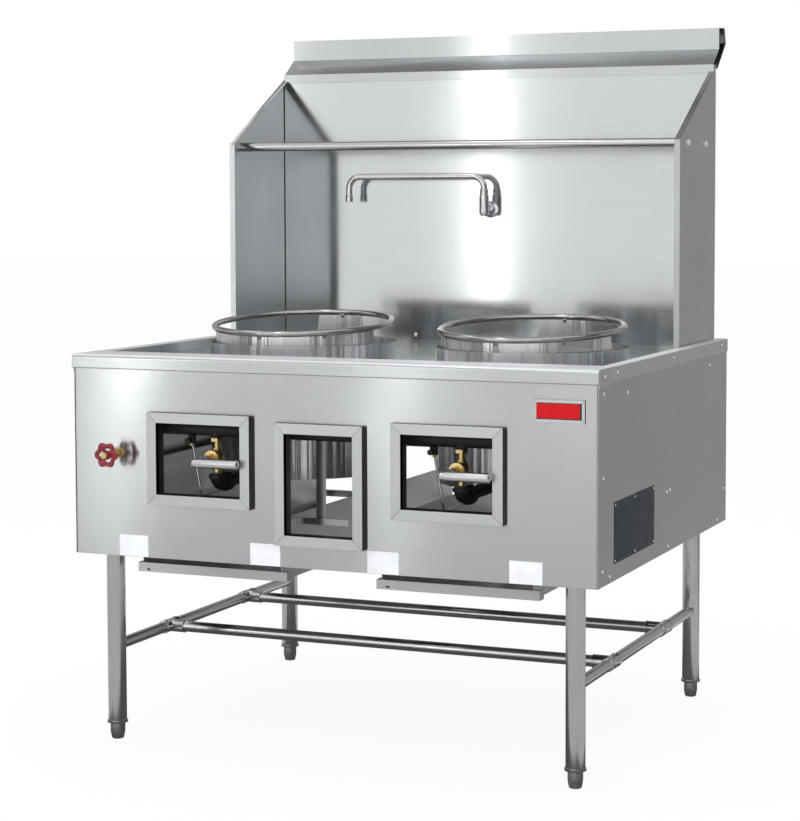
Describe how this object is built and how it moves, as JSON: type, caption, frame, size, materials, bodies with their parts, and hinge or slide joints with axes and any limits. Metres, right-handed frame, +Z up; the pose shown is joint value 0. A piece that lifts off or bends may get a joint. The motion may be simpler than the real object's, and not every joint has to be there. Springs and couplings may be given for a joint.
{
  "type": "wok range",
  "caption": "Commercial gas wok range on tube legs: sunk deck with tilted lift-off wok rings, window openings, drip trays, tall backsplash with utensil bar and swing spout.",
  "frame": {"origin": "on the floor, below the centre of the overall box", "axes": "+Z up, -Y towards the cook (the front panel faces -Y), +X to the right as seen by the cook"},
  "size_m": [1.2286, 1.1426, 1.624],
  "materials": {
    "stainless_panel": "fine vertical brushed satin",
    "stainless_rim": "fine satin with bright edges",
    "polished_tube": "polished along the tube",
    "ring_steel": "polished bar with heat tint",
    "black_iron": "black pipe coating",
    "black_steel": "dark coated sheet",
    "brass": "turned",
    "chrome": "bright plated",
    "grip_steel": "satin tube",
    "wheel_red": "gloss enamel on a cast wheel",
    "badge_red": "plain enamel field",
    "label_white": "blank label film",
    "plate_dark": "blank dark plate",
    "foot_grey": "cast, dull"
  },
  "bodies": {
    "cabinet": {"front_panel": "stainless_panel", "side_panel_left": "stainless_panel", "side_panel_right": "stainless_panel", "rear_skin": "stainless_panel", "deck": "stainless_panel", "chamber_left": "stainless_panel", "chamber_right": "stainless_panel", "splash_side_left": "stainless_panel", "splash_side_right": "stainless_panel", "back_panel": "stainless_panel", "window_frame_left": "stainless_rim", "window_frame_middle": "stainless_rim", "window_frame_right": "stainless_rim", "front_rim": "stainless_rim", "side_rim_left": "stainless_rim", "side_rim_right": "stainless_rim", "top_cap": "stainless_rim", "panel_screws": "stainless_rim", "splash_bolts": "stainless_rim", "deck_drain": "stainless_rim", "window_liners": "black_steel", "rear_rail": "black_steel", "tray_skirts": "black_steel", "inner_frame": "black_steel", "pipe_hangers": "black_steel", "end_frame_left": "polished_tube", "end_frame_right": "polished_tube", "cross_rails": "polished_tube", "rail_tees": "polished_tube", "utensil_bar": "polished_tube", "gas_manifold": "black_iron", "supply_pipe_left": "black_iron", "supply_pipe_right": "black_iron", "burner_left": "black_iron", "burner_right": "black_iron", "pilots": "black_iron", "gas_valve_left": "brass", "gas_valve_right": "brass", "water_valve": "brass", "faucet_base": "chrome", "name_bezel": "chrome", "water_pipe": "polished_tube", "name_field": "badge_red", "labels": "label_white", "rating_plate": "plate_dark"},
    "hand_wheel": {"handwheel": "wheel_red", "wheel_spindle": "brass"},
    "lever_left": {"lever_left": "grip_steel"},
    "lever_right": {"lever_right": "grip_steel"},
    "spout": {"spout": "chrome"},
    "drip_tray_left": {"drip_tray_left": "stainless_panel"},
    "drip_tray_right": {"drip_tray_right": "stainless_panel"},
    "wok_ring_left": {"wok_ring_left": "ring_steel", "collar_left": "stainless_panel"},
    "wok_ring_right": {"wok_ring_right": "ring_steel", "collar_right": "stainless_panel"},
    "foot_front_left": {"foot_front_left": "foot_grey"},
    "foot_front_right": {"foot_front_right": "foot_grey"},
    "foot_rear_left": {"foot_rear_left": "foot_grey"},
    "foot_rear_right": {"foot_rear_right": "foot_grey"}
  },
  "joints": [
    {"name": "hand_wheel_turn", "type": "hinge", "parent": "cabinet", "child": "hand_wheel", "pos_m": [-0.502, -0.5533, 0.6535], "axis": [0, -1, 0], "range_deg": [0, 1080]},
    {"name": "lever_left_turn", "type": "hinge", "parent": "cabinet", "child": "lever_left", "pos_m": [-0.2883, -0.5133, 0.646], "axis": [0, 1, 0], "range_deg": [0, 90]},
    {"name": "lever_right_turn", "type": "hinge", "parent": "cabinet", "child": "lever_right", "pos_m": [0.2883, -0.5133, 0.646], "axis": [0, 1, 0], "range_deg": [0, 90]},
    {"name": "spout_swing", "type": "hinge", "parent": "cabinet", "child": "spout", "pos_m": [0, 0.424, 1.219], "axis": [0, 0, 1], "range_deg": [0, 180]},
    {"name": "drip_tray_left_slide", "type": "slide", "parent": "cabinet", "child": "drip_tray_left", "axis": [0, -1, 0], "range_m": [0, 0.4]},
    {"name": "drip_tray_right_slide", "type": "slide", "parent": "cabinet", "child": "drip_tray_right", "axis": [0, -1, 0], "range_m": [0, 0.4]},
    {"name": "wok_ring_left_lift", "type": "slide", "parent": "cabinet", "child": "wok_ring_left", "axis": [0, 0, 1], "range_m": [0, 0.25]},
    {"name": "wok_ring_right_lift", "type": "slide", "parent": "cabinet", "child": "wok_ring_right", "axis": [0, 0, 1], "range_m": [0, 0.25]},
    {"name": "foot_front_left_level", "type": "slide", "parent": "cabinet", "child": "foot_front_left", "axis": [0, 0, -1], "range_m": [-0.012, 0.025]},
    {"name": "foot_rear_left_level", "type": "slide", "parent": "cabinet", "child": "foot_rear_left", "axis": [0, 0, -1], "range_m": [-0.012, 0.025]},
    {"name": "foot_front_right_level", "type": "slide", "parent": "cabinet", "child": "foot_front_right", "axis": [0, 0, -1], "range_m": [-0.012, 0.025]},
    {"name": "foot_rear_right_level", "type": "slide", "parent": "cabinet", "child": "foot_rear_right", "axis": [0, 0, -1], "range_m": [-0.012, 0.025]}
  ]
}
